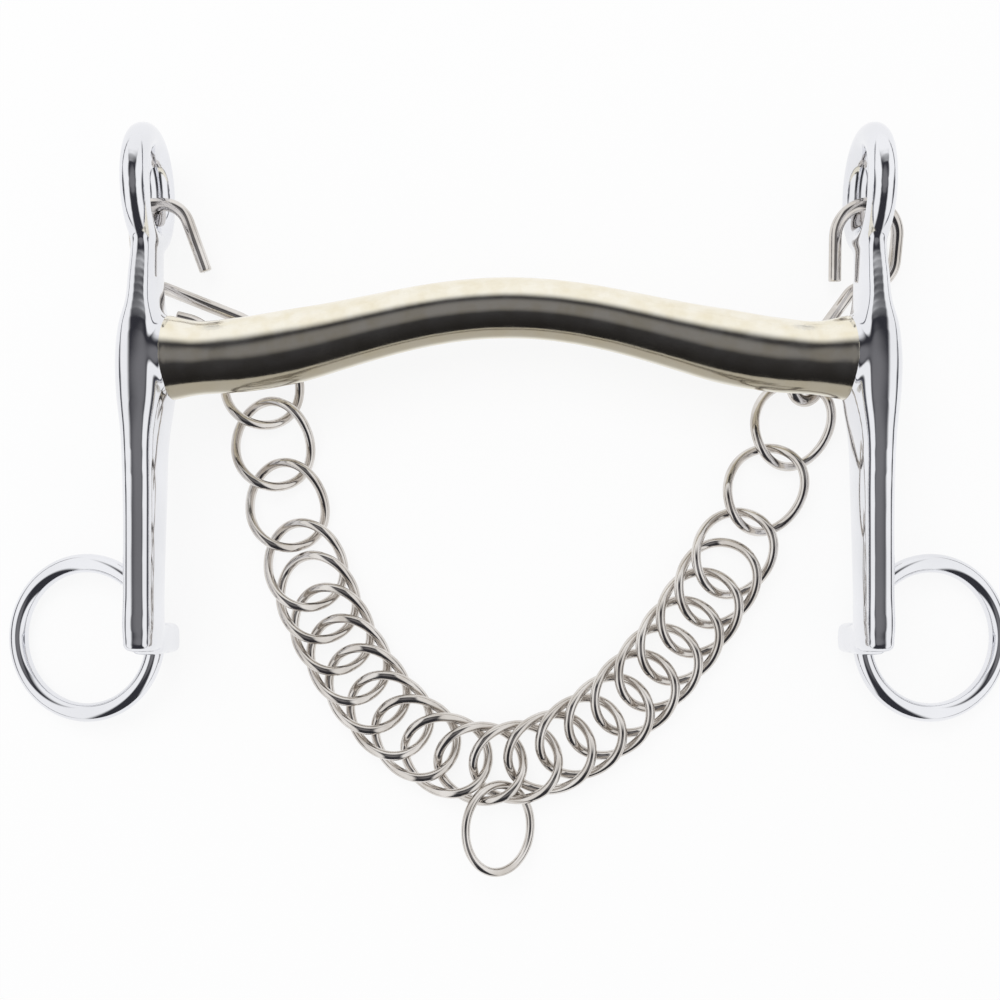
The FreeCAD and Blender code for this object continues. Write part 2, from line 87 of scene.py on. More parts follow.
class BitSizes(bpy.types.PropertyGroup):
    """Sizes of the bit's pieces"""
    mouth_width: length("Mouth Width", 0.139, "Between the inner faces of the cheeks")
    bar_height: length("Bar Height", 0.0148, "Mouthpiece axis above the table")
    bar_middle: length("Bar Middle", 0.0124, "Diameter in the middle of the port")
    bar_end: length("Bar End", 0.0152, "Diameter near the cheeks")
    bar_flare: length("Bar Flare", 0.0172, "Diameter where the bar meets the cheek")
    port_rise: length("Port Rise", 0.0104, "Rise of the low port")
    port_span: length("Port Span", 0.132, "Width of the port from foot to foot")
    ring_wire: length("Ring Wire", 0.0040, "Thickness of the rein rings")
    ring_across: length("Ring Across", 0.0360, "Rein ring, outside")
    hook_wire: length("Hook Wire", 0.0027, "Thickness of the hooks")
    link_wire: length("Link Wire", 0.00204, "Thickness of the chain's wire")
    link_long: length("Link Length", 0.0205, "Chain link, outside")
    link_wide: length("Link Width", 0.0181, "Chain link, outside")
    link_twist: length("Link Twist", 0.0024, "Rise and fall of the link's centreline")
    fly_wire: length("Fly Wire", 0.0019, "Thickness of the fly link")
    fly_long: length("Fly Length", 0.0208, "Fly link, outside")
    fly_wide: length("Fly Width", 0.0170, "Fly link, outside")


class BitFinishes(bpy.types.PropertyGroup):
    """Colours and roughness of the finishes"""
    polished_steel: colour("Polished Steel", (0.85, 0.857, 0.89), "Cheeks and rein rings")
    german_silver: colour("German Silver", (0.93, 0.89, 0.78), "Mouthpiece")
    chain_steel: colour("Chain Steel", (0.76, 0.73, 0.70), "Hooks, links and fly link")
    table: colour("Table", (0.92, 0.92, 0.93), "Table and backdrop")
    bar_roughness: share("Bar Roughness", 0.14, "Roughness of the mouthpiece")
    cheek_roughness: share("Cheek Roughness", 0.07, "Roughness of the cheeks and rings")
    chain_roughness: share("Chain Roughness", 0.12, "Roughness of hooks and chain")


def sizes():
    """The sizes set in the scene."""
    return bpy.context.scene.bit_sizes


def finishes():
    """The finishes set in the scene."""
    return bpy.context.scene.bit_finishes


# ---------------------------------------------------------------- surfaces
def unit(vectors):
    """Vectors scaled to length 1."""
    return vectors / np.linalg.norm(vectors, axis=-1, keepdims=True)


def through(keys, values, at):
    """Smooth curve through values at rising keys: cubic Hermite pieces whose slopes are those of
    the parabola through each value and its two neighbours."""
    keys, values, at = np.asarray(keys, float), np.asarray(values, float), np.asarray(at, float)
    gaps = np.diff(keys)
    shape = (-1,) + (1,) * (values.ndim - 1)
    steps = np.diff(values, axis=0) / gaps.reshape(shape)
    slopes = np.empty_like(values)
    left, right = gaps[:-1].reshape(shape), gaps[1:].reshape(shape)
    slopes[1:-1] = (steps[:-1] * right + steps[1:] * left) / (left + right)
    slopes[0], slopes[-1] = steps[0], steps[-1]
    piece = np.clip(np.searchsorted(keys, at, side="right") - 1, 0, len(gaps) - 1)
    gap = gaps[piece].reshape(shape)
    t = ((at - keys[piece]) / gaps[piece]).reshape(shape)
    return ((2 * t ** 3 - 3 * t ** 2 + 1) * values[piece]
            + (t ** 3 - 2 * t ** 2 + t) * gap * slopes[piece]
            + (3 * t ** 2 - 2 * t ** 3) * values[piece + 1]
            + (t ** 3 - t ** 2) * gap * slopes[piece + 1])


def grid_faces(rows, columns, closed):
    """Quads of a grid whose rows are closed rings; closed also joins the last row to the first."""
    row = np.arange(rows if closed else rows - 1)[:, None]
    column = np.arange(columns)[None, :]
    after, beside = (row + 1) % rows, (column + 1) % columns
    return np.stack([row * columns + column, row * columns + beside,
                     after * columns + beside, after * columns + column], -1).reshape(-1, 4)


def make_piece(name, points, faces):
    """Mesh object from an array of points and a list of faces, shaded smooth."""
    mesh = bpy.data.meshes.new(name)
    mesh.from_pydata(np.asarray(points, float).reshape(-1, 3).tolist(), [], faces)
    mesh.update()
    mesh.polygons.foreach_set("use_smooth", np.ones(len(mesh.polygons), bool))
    made = bpy.data.objects.new(name, mesh)
    bpy.context.scene.collection.objects.link(made)
    return made


def ring_surface(name, rings, closed):
    """Piece from an array of rings (rows, columns, 3); open ends are closed with one face each."""
    rows, columns = rings.shape[:2]
    faces = grid_faces(rows, columns, closed).tolist()
    if not closed:
        faces.append(list(range(columns))[::-1])
        faces.append(list(range((rows - 1) * columns, rows * columns)))
    return make_piece(name, rings, faces)


def frames_along(path, closed):
    """Unit tangents of a path and two directions square to them, carried along without twist."""
    if closed:
        tangent = unit(np.roll(path, -1, 0) - np.roll(path, 1, 0))
    else:
        tangent = unit(np.gradient(path, axis=0))
    side = np.empty_like(path)
    side[0] = unit(np.cross(tangent[0], [0.31, -0.22, 0.93]))
    for k in range(1, len(path)):
        side[k] = unit(side[k - 1] - tangent[k] * (side[k - 1] @ tangent[k]))
    if closed:
        last = unit(side[-1] - tangent[0] * (side[-1] @ tangent[0]))
        off = math.atan2(np.cross(last, side[0]) @ tangent[0], last @ side[0])
        turn = off * np.linspace(0, 1, len(path), endpoint=False)[:, None]
        side = np.cos(turn) * side + np.sin(turn) * np.cross(tangent, side)
    return tangent, side, np.cross(tangent, side)


def wire_rings(path, radius, closed, sides):
    """Rings of a round wire: centre plus radius times cosine and sine in the path's cross plane."""
    _, side, across = frames_along(path, closed)
    around = np.linspace(0, 2 * np.pi, sides, endpoint=False)
    radius = np.broadcast_to(radius, len(path))[:, None, None]
    return path[:, None] + radius * (np.cos(around)[None, :, None] * side[:, None]
                                     + np.sin(around)[None, :, None] * across[:, None])


def even_steps(path, step):
    """The same path with points at even distances, close to step."""
    run = np.concatenate([[0], np.cumsum(np.linalg.norm(np.diff(path, axis=0), axis=1))])
    at = np.linspace(0, run[-1], max(8, int(round(run[-1] / step))) + 1)
    return np.stack([np.interp(at, run, path[:, k]) for k in range(3)], 1), at


def rounded_path(points, radii, step=0.0004):
    """Straight runs joined by tangent arcs, with one radius for each inner point."""
    pieces = [points[:1]]
    for before, corner, after, radius in zip(points, points[1:], points[2:], radii):
        incoming, outgoing = unit(corner - before), unit(after - corner)
        turn = math.acos(float(np.clip(incoming @ outgoing, -1, 1)))
        trim = radius * math.tan(turn / 2)
        middle = corner + unit(outgoing - incoming) * (radius / math.cos(turn / 2))
        spoke = corner - incoming * trim - middle
        angles = np.linspace(0, turn, max(3, int(turn * radius / step)))[:, None]
        pieces.append(middle + np.cos(angles) * spoke + np.sin(angles) * incoming * radius)
    pieces.append(points[-1:])
    return even_steps(np.concatenate(pieces), step)


def finish_piece(made, node, body, material):
    """Give a piece its material and its body, and hide the solid that it stands for."""
    made.data.materials.clear()
    made.data.materials.append(material)
    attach(made, body)
    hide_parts(node)
    return made


# ---------------------------------------------------------------- materials
def wear_group():
    """Node group of fine wear: smudges that change the roughness, and a height of faint
    scratches."""
    group = bpy.data.node_groups.get("Handling Wear")
    if group:
        return group
    group = bpy.data.node_groups.new("Handling Wear", "ShaderNodeTree")
    for name, kind, way, default in (("Vector", "NodeSocketVector", "INPUT", None),
                                     ("Smudge Size", "NodeSocketFloat", "INPUT", 90.0),
                                     ("Scratch Size", "NodeSocketFloat", "INPUT", 900.0),
                                     ("Roughness", "NodeSocketFloat", "INPUT", 0.1),
                                     ("Variation", "NodeSocketFloat", "INPUT", 0.05),
                                     ("Roughness Out", "NodeSocketFloat", "OUTPUT", None),
                                     ("Smudge", "NodeSocketFloat", "OUTPUT", None),
                                     ("Height", "NodeSocketFloat", "OUTPUT", None)):
        socket = group.interface.new_socket(name=name, in_out=way, socket_type=kind)
        if default is not None:
            socket.default_value = default
    nodes, links = group.nodes, group.links
    given, out = nodes.new("NodeGroupInput"), nodes.new("NodeGroupOutput")
    smudge = nodes.new("ShaderNodeTexNoise")
    smudge.inputs["Detail"].default_value = 4.0
    scratch = nodes.new("ShaderNodeTexNoise")
    scratch.inputs["Detail"].default_value = 6.0
    stretch = nodes.new("ShaderNodeMapping")
    stretch.inputs["Scale"].default_value = (1.0, 0.22, 1.0)
    links.new(given.outputs["Vector"], smudge.inputs["Vector"])
    links.new(given.outputs["Smudge Size"], smudge.inputs["Scale"])
    links.new(given.outputs["Vector"], stretch.inputs["Vector"])
    links.new(stretch.outputs["Vector"], scratch.inputs["Vector"])
    links.new(given.outputs["Scratch Size"], scratch.inputs["Scale"])
    centred = nodes.new("ShaderNodeMath")
    centred.operation = "SUBTRACT"
    centred.inputs[1].default_value = 0.5
    links.new(smudge.outputs["Fac"], centred.inputs[0])
    spread = nodes.new("ShaderNodeMath")
    spread.operation = "MULTIPLY_ADD"
    links.new(centred.outputs[0], spread.inputs[0])
    links.new(given.outputs["Variation"], spread.inputs[1])
    links.new(given.outputs["Roughness"], spread.inputs[2])
    links.new(spread.outputs[0], out.inputs["Roughness Out"])
    links.new(smudge.outputs["Fac"], out.inputs["Smudge"])
    links.new(scratch.outputs["Fac"], out.inputs["Height"])
    return group


def metal(name, tint, dark_tint, roughness, variation, smudge_size, scratch_size, bump, wave=0.0,
          wave_size=60.0):
    """Metal whose colour drifts between two tints with its smudges; bump and wave lift the
    normal."""
    made = bpy.data.materials.get(name)
    if made:
        return made
    made = bpy.data.materials.new(name)
    made.use_nodes = True
    nodes, links = made.node_tree.nodes, made.node_tree.links
    shader = nodes["Principled BSDF"]
    shader.inputs["Metallic"].default_value = 1.0
    place = nodes.new("ShaderNodeTexCoord")
    wear = nodes.new("ShaderNodeGroup")
    wear.node_tree = wear_group()
    links.new(place.outputs["Object"], wear.inputs["Vector"])
    wear.inputs["Smudge Size"].default_value = smudge_size
    wear.inputs["Scratch Size"].default_value = scratch_size
    wear.inputs["Roughness"].default_value = roughness
    wear.inputs["Variation"].default_value = variation
    ramp = nodes.new("ShaderNodeValToRGB")
    ramp.color_ramp.elements[0].position = 0.30
    ramp.color_ramp.elements[1].position = 0.62
    ramp.color_ramp.elements[0].color = (*dark_tint, 1.0)
    ramp.color_ramp.elements[1].color = (*tint, 1.0)
    links.new(wear.outputs["Smudge"], ramp.inputs["Fac"])
    links.new(ramp.outputs["Color"], shader.inputs["Base Color"])
    links.new(wear.outputs["Roughness Out"], shader.inputs["Roughness"])
    fine = nodes.new("ShaderNodeBump")
    fine.inputs["Strength"].default_value = bump
    fine.inputs["Distance"].default_value = 0.00002
    links.new(wear.outputs["Height"], fine.inputs["Height"])
    if wave:
        swell = nodes.new("ShaderNodeTexNoise")
        swell.inputs["Scale"].default_value = wave_size
        swell.inputs["Detail"].default_value = 1.0
        links.new(place.outputs["Object"], swell.inputs["Vector"])
        broad = nodes.new("ShaderNodeBump")
        broad.inputs["Strength"].default_value = 1.0
        broad.inputs["Distance"].default_value = wave
        links.new(swell.outputs["Fac"], broad.inputs["Height"])
        links.new(broad.outputs["Normal"], fine.inputs["Normal"])
    links.new(fine.outputs["Normal"], shader.inputs["Normal"])
    return made


def polished_steel():
    """Bright polished steel of the cheeks and rein rings."""
    look = finishes()
    tint = tuple(look.polished_steel)
    return metal("Polished Steel", tint, tuple(0.93 * c for c in tint), look.cheek_roughness, 0.05,
                 55.0, 700.0, 0.06, 0.00004, 70.0)


def german_silver():
    """Warm nickel alloy of the mouthpiece, darker where the painted shade attribute is high:
    painted shade on the lower side that stands in for a dark reflection.
    """
    look = finishes()
    tint = tuple(look.german_silver)
    made = metal("German Silver", tint, tuple(c * f for c, f in zip(tint, (0.93, 0.90, 0.82))),
                 look.bar_roughness, 0.14, 260.0, 650.0, 0.70, 0.00006, 150.0)
    nodes, links = made.node_tree.nodes, made.node_tree.links
    if "Tarnish" in nodes:
        return made
    # painted shade: a per-point attribute darkens the colour of the mouthpiece's lower side in
    # place of a dark reflection
    shade_share = nodes.new("ShaderNodeAttribute")
    shade_share.name, shade_share.attribute_name = "Tarnish", "tarnish"
    mix = nodes.new("ShaderNodeMix")
    mix.data_type = "RGBA"
    # dark olive brown of the painted shade
    mix.inputs["B"].default_value = (0.27, 0.235, 0.165, 1.0)
    shader = nodes["Principled BSDF"]
    links.new(shade_share.outputs["Fac"], mix.inputs["Factor"])
    links.new(shader.inputs["Base Color"].links[0].from_socket, mix.inputs["A"])
    links.new(mix.outputs["Result"], shader.inputs["Base Color"])
    return made


def chain_steel():
    """Duller steel of the hooks, links and fly link."""
    look = finishes()
    tint = tuple(look.chain_steel)
    return metal("Chain Steel", tint, (0.56, 0.52, 0.48), look.chain_roughness, 0.10, 160.0, 1100.0,
                 0.15, 0.00004, 260.0)


# ---------------------------------------------------------------- mouthpiece
def bar_rings(columns=72):
    """Rings of the mouthpiece. Along X the axis follows half a cosine wave of the port's rise, and
    the radius grows from the middle to the ends, flares at the cheeks and drops to the tenons."""
    s = sizes()
    half = s.mouth_width / 2
    low, high = s.bar_middle / 2, s.bar_end / 2
    keys = np.array([0, 0.12, 0.24, 0.36, 0.5, 0.64, 0.8, 1 - 0.010 / s.mouth_width, 1]) * half
    shares = np.array([0, 0.01, 0.06, 0.18, 0.5, 0.95, 1, 1])
    radii = np.append(low + (high - low) * shares, s.bar_flare / 2)
    x = np.linspace(0, half, 150)
    radius = through(keys, radii, x)
    x = np.concatenate([x, half + np.array([0.0028, 0.0030, 0.0032, 0.0055, 0.0059])])
    radius = np.concatenate([radius, [radius[-1], radius[-1] - 0.0003, 0.0039, 0.0039, 0.0036]])
    x = np.concatenate([-x[:0:-1], x])
    radius = np.concatenate([radius[:0:-1], radius])
    phase = np.clip(2 * np.pi * x / s.port_span, -np.pi, np.pi)
    y = BAR_Y + s.port_rise / 2 * (1 + np.cos(phase))
    slope = -np.pi * s.port_rise / s.port_span * np.sin(phase)
    along = unit(np.stack([np.ones_like(x), slope, np.zeros_like(x)], 1))
    across = np.stack([-along[:, 1], along[:, 0], along[:, 2]], 1)
    around = np.linspace(0, 2 * np.pi, columns, endpoint=False)
    centre = np.stack([x, y, np.full_like(x, s.bar_height)], 1)
    upward = np.array([0.0, 0.0, 1.0])
    spoke = (np.cos(around)[None, :, None] * across[:, None]
             + np.sin(around)[None, :, None] * upward)
    return centre[:, None] + radius[:, None, None] * spoke


def painted_shade_round(columns=72):
    """Share of painted shade round one ring of the mouthpiece, a darker colour standing in for a
    dark reflection: none in front and on top, most on the lower side, less in a thin line at the
    lower edge, which reads as a painted highlight, and a little at the back."""
    turn = np.linspace(0, 360, columns, endpoint=False)
    return np.interp(turn, [100, 132, 168, 178, 190, 300, 330], [0, 0.8, 0.8, 0.15, 0.3, 0.3, 0])


class BIT_OT_mouthpiece(bpy.types.Operator):
    """Add the arched mouthpiece with its flares and tenons"""
    bl_idname = "curb_bit.mouthpiece"
    bl_label = "Mouthpiece"

    def execute(self, context):
        rings = bar_rings()
        made = ring_surface("arched_mouthpiece", rings, False)
        # painted shade: a darker colour share for each point, most on the lower side of the
        # mouthpiece, standing in for a dark reflection
        shade_share = made.data.attributes.new("tarnish", "FLOAT", "POINT")
        shade_share.data.foreach_set("value", np.tile(painted_shade_round(rings.shape[1]), rings.shape[0]))
        finish_piece(made, "mouthpiece", "bit", german_silver())
        return {"FINISHED"}


# ---------------------------------------------------------------- cheeks
STEM_SECTIONS = np.array([
    # above the bar axis, half width, half depth, middle height
    (0.0265, 0.00244, 0.0068, 0.0137),
    (0.0217, 0.0027, 0.0064, 0.0142),
    (0.0166, 0.00295, 0.0065, 0.0151),
    (0.0108, 0.0034, 0.0076, 0.0151),
    (0.0061, 0.0048, 0.0088, 0.0148),
    (0.0000, 0.0055, 0.0093, 0.0148),
    (-0.0073, 0.0053, 0.0090, 0.0151),
    (-0.0164, 0.0041, 0.0086, 0.0157),
    (-0.0291, 0.0037, 0.0078, 0.0158),
    (-0.0485, 0.00355, 0.0068, 0.0168),
    (-0.0582, 0.00348, 0.0064, 0.0172),
    (-0.0600, 0.0032, 0.0060, 0.0172),
    (-0.0606, 0.0025, 0.0051, 0.0172),
])


def stem_rings(columns=64, rows=220):
    """Rings of the cheek's stem: at each height a closed curve between an ellipse and a rounded
    bar, x = width c, z = (depth - width) s + width sin t, where c and s are the cosine and the sine
    raised to powers under 1, so that the front, the back and the flanks are a little flattened."""
    order = np.argsort(STEM_SECTIONS[:, 0])
    table = STEM_SECTIONS[order]
    ease = 0.5 - 0.5 * np.cos(np.linspace(0, np.pi, rows))
    keys = table[:, 0]
    at = keys[0] + (keys[-1] - keys[0]) * (0.5 * ease + 0.5 * np.linspace(0, 1, rows))
    width, depth, middle = through(keys, table[:, 1:], at).T
    t = np.linspace(0, 2 * np.pi, columns, endpoint=False)
    sine = np.sign(np.sin(t)) * np.abs(np.sin(t)) ** 0.62
    x = width[:, None] * np.sign(np.cos(t)) * np.abs(np.cos(t)) ** 0.6
    z = (depth - width)[:, None] * sine + width[:, None] * np.sin(t) + middle[:, None]
    y = np.broadcast_to((BAR_Y + at)[:, None], x.shape)
    return np.stack([EYE[0] + x, y, z], -1)


def torus_rings(centre, major, minor, rows, columns, flatten=1.0):
    """Rings of a torus round the X axis through centre; flatten narrows its wire along X."""
    u = np.linspace(0, 2 * np.pi, rows, endpoint=False)[:, None]
    v = np.linspace(0, 2 * np.pi, columns, endpoint=False)[None, :]
    reach = major + minor * np.cos(v)
    return np.asarray(centre) + np.stack([flatten * minor * np.sin(v) + 0 * u,
                                          reach * np.cos(u), reach * np.sin(u)], -1)


def foot_rings(columns=48):
    """Rings of the rearward foot: a rounded square whose size shrinks in a quarter circle at its
    resting end."""
    half = np.array([0.0035, 0.0033])
    edge = 0.0010
    t = np.linspace(0, 2 * np.pi, columns, endpoint=False)
    turn = np.linspace(0, np.pi / 2, 7)
    z = np.concatenate([edge * (1 - np.cos(turn)), np.linspace(edge, sizes().bar_height, 12)[1:]])
    shrink = np.concatenate([edge * (1 - np.sin(turn)), np.zeros(11)])
    power = 0.42
    x = np.sign(np.cos(t)) * np.abs(np.cos(t)) ** power
    y = np.sign(np.sin(t)) * np.abs(np.sin(t)) ** power
    xs = (half[0] - shrink)[:, None] * x
    ys = (half[1] - shrink)[:, None] * y
    zs = np.broadcast_to(z[:, None], xs.shape)
    return np.array([EYE[0], RING_HOLE[1], 0.0]) + np.stack([xs, ys, zs], -1)


def spool_rings(centre, axis, radius, half_length, flare, columns=48):
    """Rings of a cutting spool along an axis: a cylinder that widens at its two ends."""
    at = np.linspace(-1, 1, 25)
    grow = radius + flare * np.clip((np.abs(at) - 0.80) / 0.20, 0, 1) ** 2
    axis = np.asarray(axis, float)
    first = unit(np.cross(axis, [0.2, 0.3, 0.9]))
    second = np.cross(axis, first)
    t = np.linspace(0, 2 * np.pi, columns, endpoint=False)
    ring = np.cos(t)[:, None] * first + np.sin(t)[:, None] * second
    return np.asarray(centre) + at[:, None, None] * half_length * axis + grow[:, None, None] * ring


def applied(made, *modifiers):
    """Add modifiers one after another and bake them into the piece's mesh."""
    for kind, settings in modifiers:
        modifier = made.modifiers.new(kind.title(), kind)
        for name, value in settings.items():
            setattr(modifier, name, value)
    bpy.context.view_layer.update()
    evaluated = made.evaluated_get(bpy.context.evaluated_depsgraph_get())
    mesh = bpy.data.meshes.new_from_object(evaluated)
    made.modifiers.clear()
    old, made.data = made.data, mesh
    bpy.data.meshes.remove(old)
    return made


def joined(name, parts):
    """One object from several closed surfaces."""
    points, faces, start = [], [], 0
    for part in parts:
        count = len(part.data.vertices)
        co = np.empty(count * 3)
        part.data.vertices.foreach_get("co", co)
        points.append(co.reshape(-1, 3))
        faces += [[start + v for v in face.vertices] for face in part.data.polygons]
        start += count
        bpy.data.objects.remove(part)
    return make_piece(name, np.concatenate(points), faces)


def points_of(made):
    """The mesh's points as an array."""
    co = np.empty(len(made.data.vertices) * 3)
    made.data.vertices.foreach_get("co", co)
    return co.reshape(-1, 3)


def right_cheek():
    """Right cheek: stem, eye, seat, foot and strap loop made into one skin, whose joins are then
    eased more than the rest."""
    s = sizes()
    eye = EYE
    parts = [
        ring_surface("stem", stem_rings(), False),
        ring_surface("eye", torus_rings(eye, 0.0106, 0.0029, 160, 40), True),
        ring_surface("foot", foot_rings(), False),
        ring_surface("strap_loop", torus_rings((eye[0], BAR_Y - 0.028, 0.0080), 0.0026, 0.0012,
                                               64, 24), True),
    ]
    at = np.linspace(0, 0.0055, 10)
    t = np.linspace(0, 2 * np.pi, 64, endpoint=False)
    grow = s.bar_flare / 2 + 0.0005 * at / at[-1]
    seat = np.stack([np.broadcast_to((s.mouth_width / 2 + at)[:, None], (10, 64)),
                     BAR_Y + grow[:, None] * np.sin(t),
                     s.bar_height - grow[:, None] * np.cos(t)], -1)
    parts.append(ring_surface("seat", seat, False))
    made = joined("cheek", parts)
    applied(made, ("REMESH", {"mode": "VOXEL", "voxel_size": CHEEK_VOXEL}))
    hole = ring_surface("hole", spool_rings(RING_HOLE, (0, 1, 0), 0.00262, 0.0052, 0.0007), False)
    bore = ring_surface("bore", spool_rings((s.mouth_width / 2 + 0.0025, BAR_Y, s.bar_height),
                                            (1, 0, 0), 0.0041, 0.0038, 0.0), False)
    for tool in (hole, bore):
        applied(made, ("BOOLEAN", {"operation": "DIFFERENCE", "solver": "EXACT", "object": tool}))
        bpy.data.objects.remove(tool)
    applied(made, ("REMESH", {"mode": "VOXEL", "voxel_size": CHEEK_VOXEL}))
    co = points_of(made)
    neck = np.exp(-(((co[:, 1] - eye[1] + 0.0125) / 0.0040) ** 2))
    hub = np.exp(-((np.linalg.norm(co - [s.mouth_width / 2 + 0.0015, BAR_Y, s.bar_height], axis=1)
                    - 0.0085) / 0.0022) ** 2)
    heel = np.exp(-((co[:, 1] - RING_HOLE[1] - 0.0035) / 0.003) ** 2) * (co[:, 2] < 0.013)
    ease = np.clip(neck + hub + heel, 0, 1)
    group = made.vertex_groups.new(name="joins")
    levels = np.round(ease * 10).astype(int)
    for level in range(1, 11):
        members = np.flatnonzero(levels == level).tolist()
        if members:
            group.add(members, level / 10, "REPLACE")
    applied(made, ("SMOOTH", {"factor": 0.5, "iterations": 26, "vertex_group": "joins"}),
            ("SMOOTH", {"factor": 0.5, "iterations": 14}))
    made.vertex_groups.clear()
    made.data.polygons.foreach_set("use_smooth", np.ones(len(made.data.polygons), bool))
    return made


def mirrored(source, name):
    """Copy of a piece on the other side of the middle plane, with its faces turned outwards."""
    mesh = source.data.copy()
    co = points_of(source)
    co[:, 0] *= -1
    mesh.vertices.foreach_set("co", co.reshape(-1))
    mesh.flip_normals()
    mesh.update()
    made = bpy.data.objects.new(name, mesh)
    bpy.context.scene.collection.objects.link(made)
    return made


class BIT_OT_cheeks(bpy.types.Operator):
    """Add both cheeks: eye, neck, lower cheek, foot and strap loop"""
    bl_idname = "curb_bit.cheeks"
    bl_label = "Cheeks"

    def execute(self, context):
        right = right_cheek()
        right.name = "right_cheek_polished"
        left = mirrored(right, "left_cheek_polished")
        finish_piece(right, "right_cheek", "bit", polished_steel())
        finish_piece(left, "left_cheek", "bit", polished_steel())
        return {"FINISHED"}


# ---------------------------------------------------------------- rein rings
def rein_ring_rings():
    """Rings of the right rein ring: a torus tilted so that it hangs in the foot's hole and its
    outer edge lies on the table."""
    s = sizes()
    run = (s.ring_across - s.ring_wire) / 2
    sag = (run - math.sqrt(run ** 2 - 0.0066 ** 2 / 4)) / 2
    reach = run - sag
    tilt = math.asin((RING_HOLE[2] - s.ring_wire / 2) / (reach + run))
    outward = np.array([math.cos(tilt), 0, -math.sin(tilt)])
    normal = np.array([math.sin(tilt), 0, math.cos(tilt)])
    centre = RING_HOLE + reach * outward
    u = np.linspace(0, 2 * np.pi, 200, endpoint=False)[:, None, None]
    v = np.linspace(0, 2 * np.pi, 40, endpoint=False)[None, :, None]
    spoke = np.cos(u) * outward + np.sin(u) * np.array([0, 1.0, 0])
    return (centre + (run + s.ring_wire / 2 * np.cos(v)) * spoke
            + s.ring_wire / 2 * np.sin(v) * normal)


class BIT_OT_rein_rings(bpy.types.Operator):
    """Add the two loose rein rings"""
    bl_idname = "curb_bit.rein_rings"
    bl_label = "Rein Rings"

    def execute(self, context):
        right = ring_surface("right_rein_ring_polished", rein_ring_rings(), True)
        left = mirrored(right, "left_rein_ring_polished")
        for made, name in ((right, "right_rein_ring"), (left, "left_rein_ring")):
            finish_piece(made, name, name, polished_steel())
        return {"FINISHED"}


# ---------------------------------------------------------------- curb hooks
LEFT_SEAT = np.array([-0.0545, 0.0055, 0.0])
RIGHT_SEAT = np.array([0.0640, -0.0038, 0.0])


def hook_path(side, seat, lift, outer, cut_in, cut_above):
    """Centreline of a hook: up beside the neck, through the eye, down the outside, round behind the
    neck, along to the lower bend and back. lift is the side of the lower bend that lies higher,
    outer the outer leg's way out from the cheek's middle, and cut_in and cut_above place the cut
    end."""
    s = sizes()
    half_wire = s.hook_wire / 2
    inner_x, outer_x = EYE[0] - 0.0055, EYE[0] + outer
    loop, middle_x = (outer_x - inner_x) / 2, (outer_x + inner_x) / 2
    rest = half_wire + 0.0003
    inside = 0.0154 / 2 - half_wire - 0.0004
    low_y = EYE_ABOVE_BAR / 2 + 0.0006
    top = np.array([0, EYE_ABOVE_BAR - inside * 0.21, EYE[2] - inside * 0.98])
    bottom = np.array([0, low_y, rest])
    top = top + unit(top - bottom) * (loop - math.sqrt(loop ** 2 - (middle_x - EYE[0]) ** 2))
    inner, outer = np.array([inner_x, 0, 0]), np.array([outer_x, 0, 0])
    start = np.array([EYE[0] - 0.0002, low_y - 0.0006, rest])
    seat = np.array([seat[0] * side, seat[1], s.link_twist + LINK_LIFT])
    run = unit((seat - start) * [1, 1, 0])
    outward = np.array([-run[1], run[0], 0])
    bend, tilt = 0.0033, math.radians(25)
    across = (np.array([0, 0, lift * math.sin(tilt)]) - outward * math.cos(tilt)) * bend
    tip = seat - across - run * 0.015
    flare = (outward + [0, 0, 0.5]) * 0.0012 - run * 0.0035
    points = np.array([[EYE[0] - cut_in, cut_above, rest + 0.0031], top + inner, top + outer,
                       bottom + outer, start, seat + across - run * 2.2 * bend,
                       seat + across + run * bend, seat - across + run * bend, tip, tip + flare])
    radii = [loop * 0.98, loop * 0.98, loop * 0.8, 0.0045, 0.009, bend, bend, 0.006]
    path, run = rounded_path(points, radii)
    return path * [side, 1, 1] + [0, BAR_Y, 0], run


def hook_piece(name, side, seat, lift, outer, cut_in, cut_above):
    """Round wire along the hook's centreline, its two cut ends broken with a small radius."""
    path, run = hook_path(side, seat, lift, outer, cut_in, cut_above)
    half_wire = sizes().hook_wire / 2
    edge = 0.00035
    extra = np.array([1, 2]) * edge / 3
    fine = np.concatenate([[0], extra, run[1:-1], run[-1] - extra[::-1], [run[-1]]])
    path = np.stack([np.interp(fine, run, path[:, k]) for k in range(3)], 1)
    away = np.minimum(fine, run[-1] - fine)
    rounding = edge ** 2 - np.clip(edge - away, 0, edge) ** 2
    radius = half_wire - edge + np.sqrt(np.clip(rounding, 0, None))
    return ring_surface(name, wire_rings(path, radius, False, 28), False)


class BIT_OT_curb_hooks(bpy.types.Operator):
    """Add the two wire curb hooks"""
    bl_idname = "curb_bit.curb_hooks"
    bl_label = "Curb Hooks"

    def execute(self, context):
        left = hook_piece("left_hook_wire", -1, LEFT_SEAT + [0.0013, -0.0010, 0], -1, 0.0050,
                          0.0100, 0.0204)
        right = hook_piece("right_hook_wire", 1, RIGHT_SEAT, 1, 0.0082, 0.0050, 0.0182)
        finish_piece(left, "left_curb_hook", "left_curb_hook", chain_steel())
        finish_piece(right, "right_curb_hook", "right_curb_hook", chain_steel())
        return {"FINISHED"}


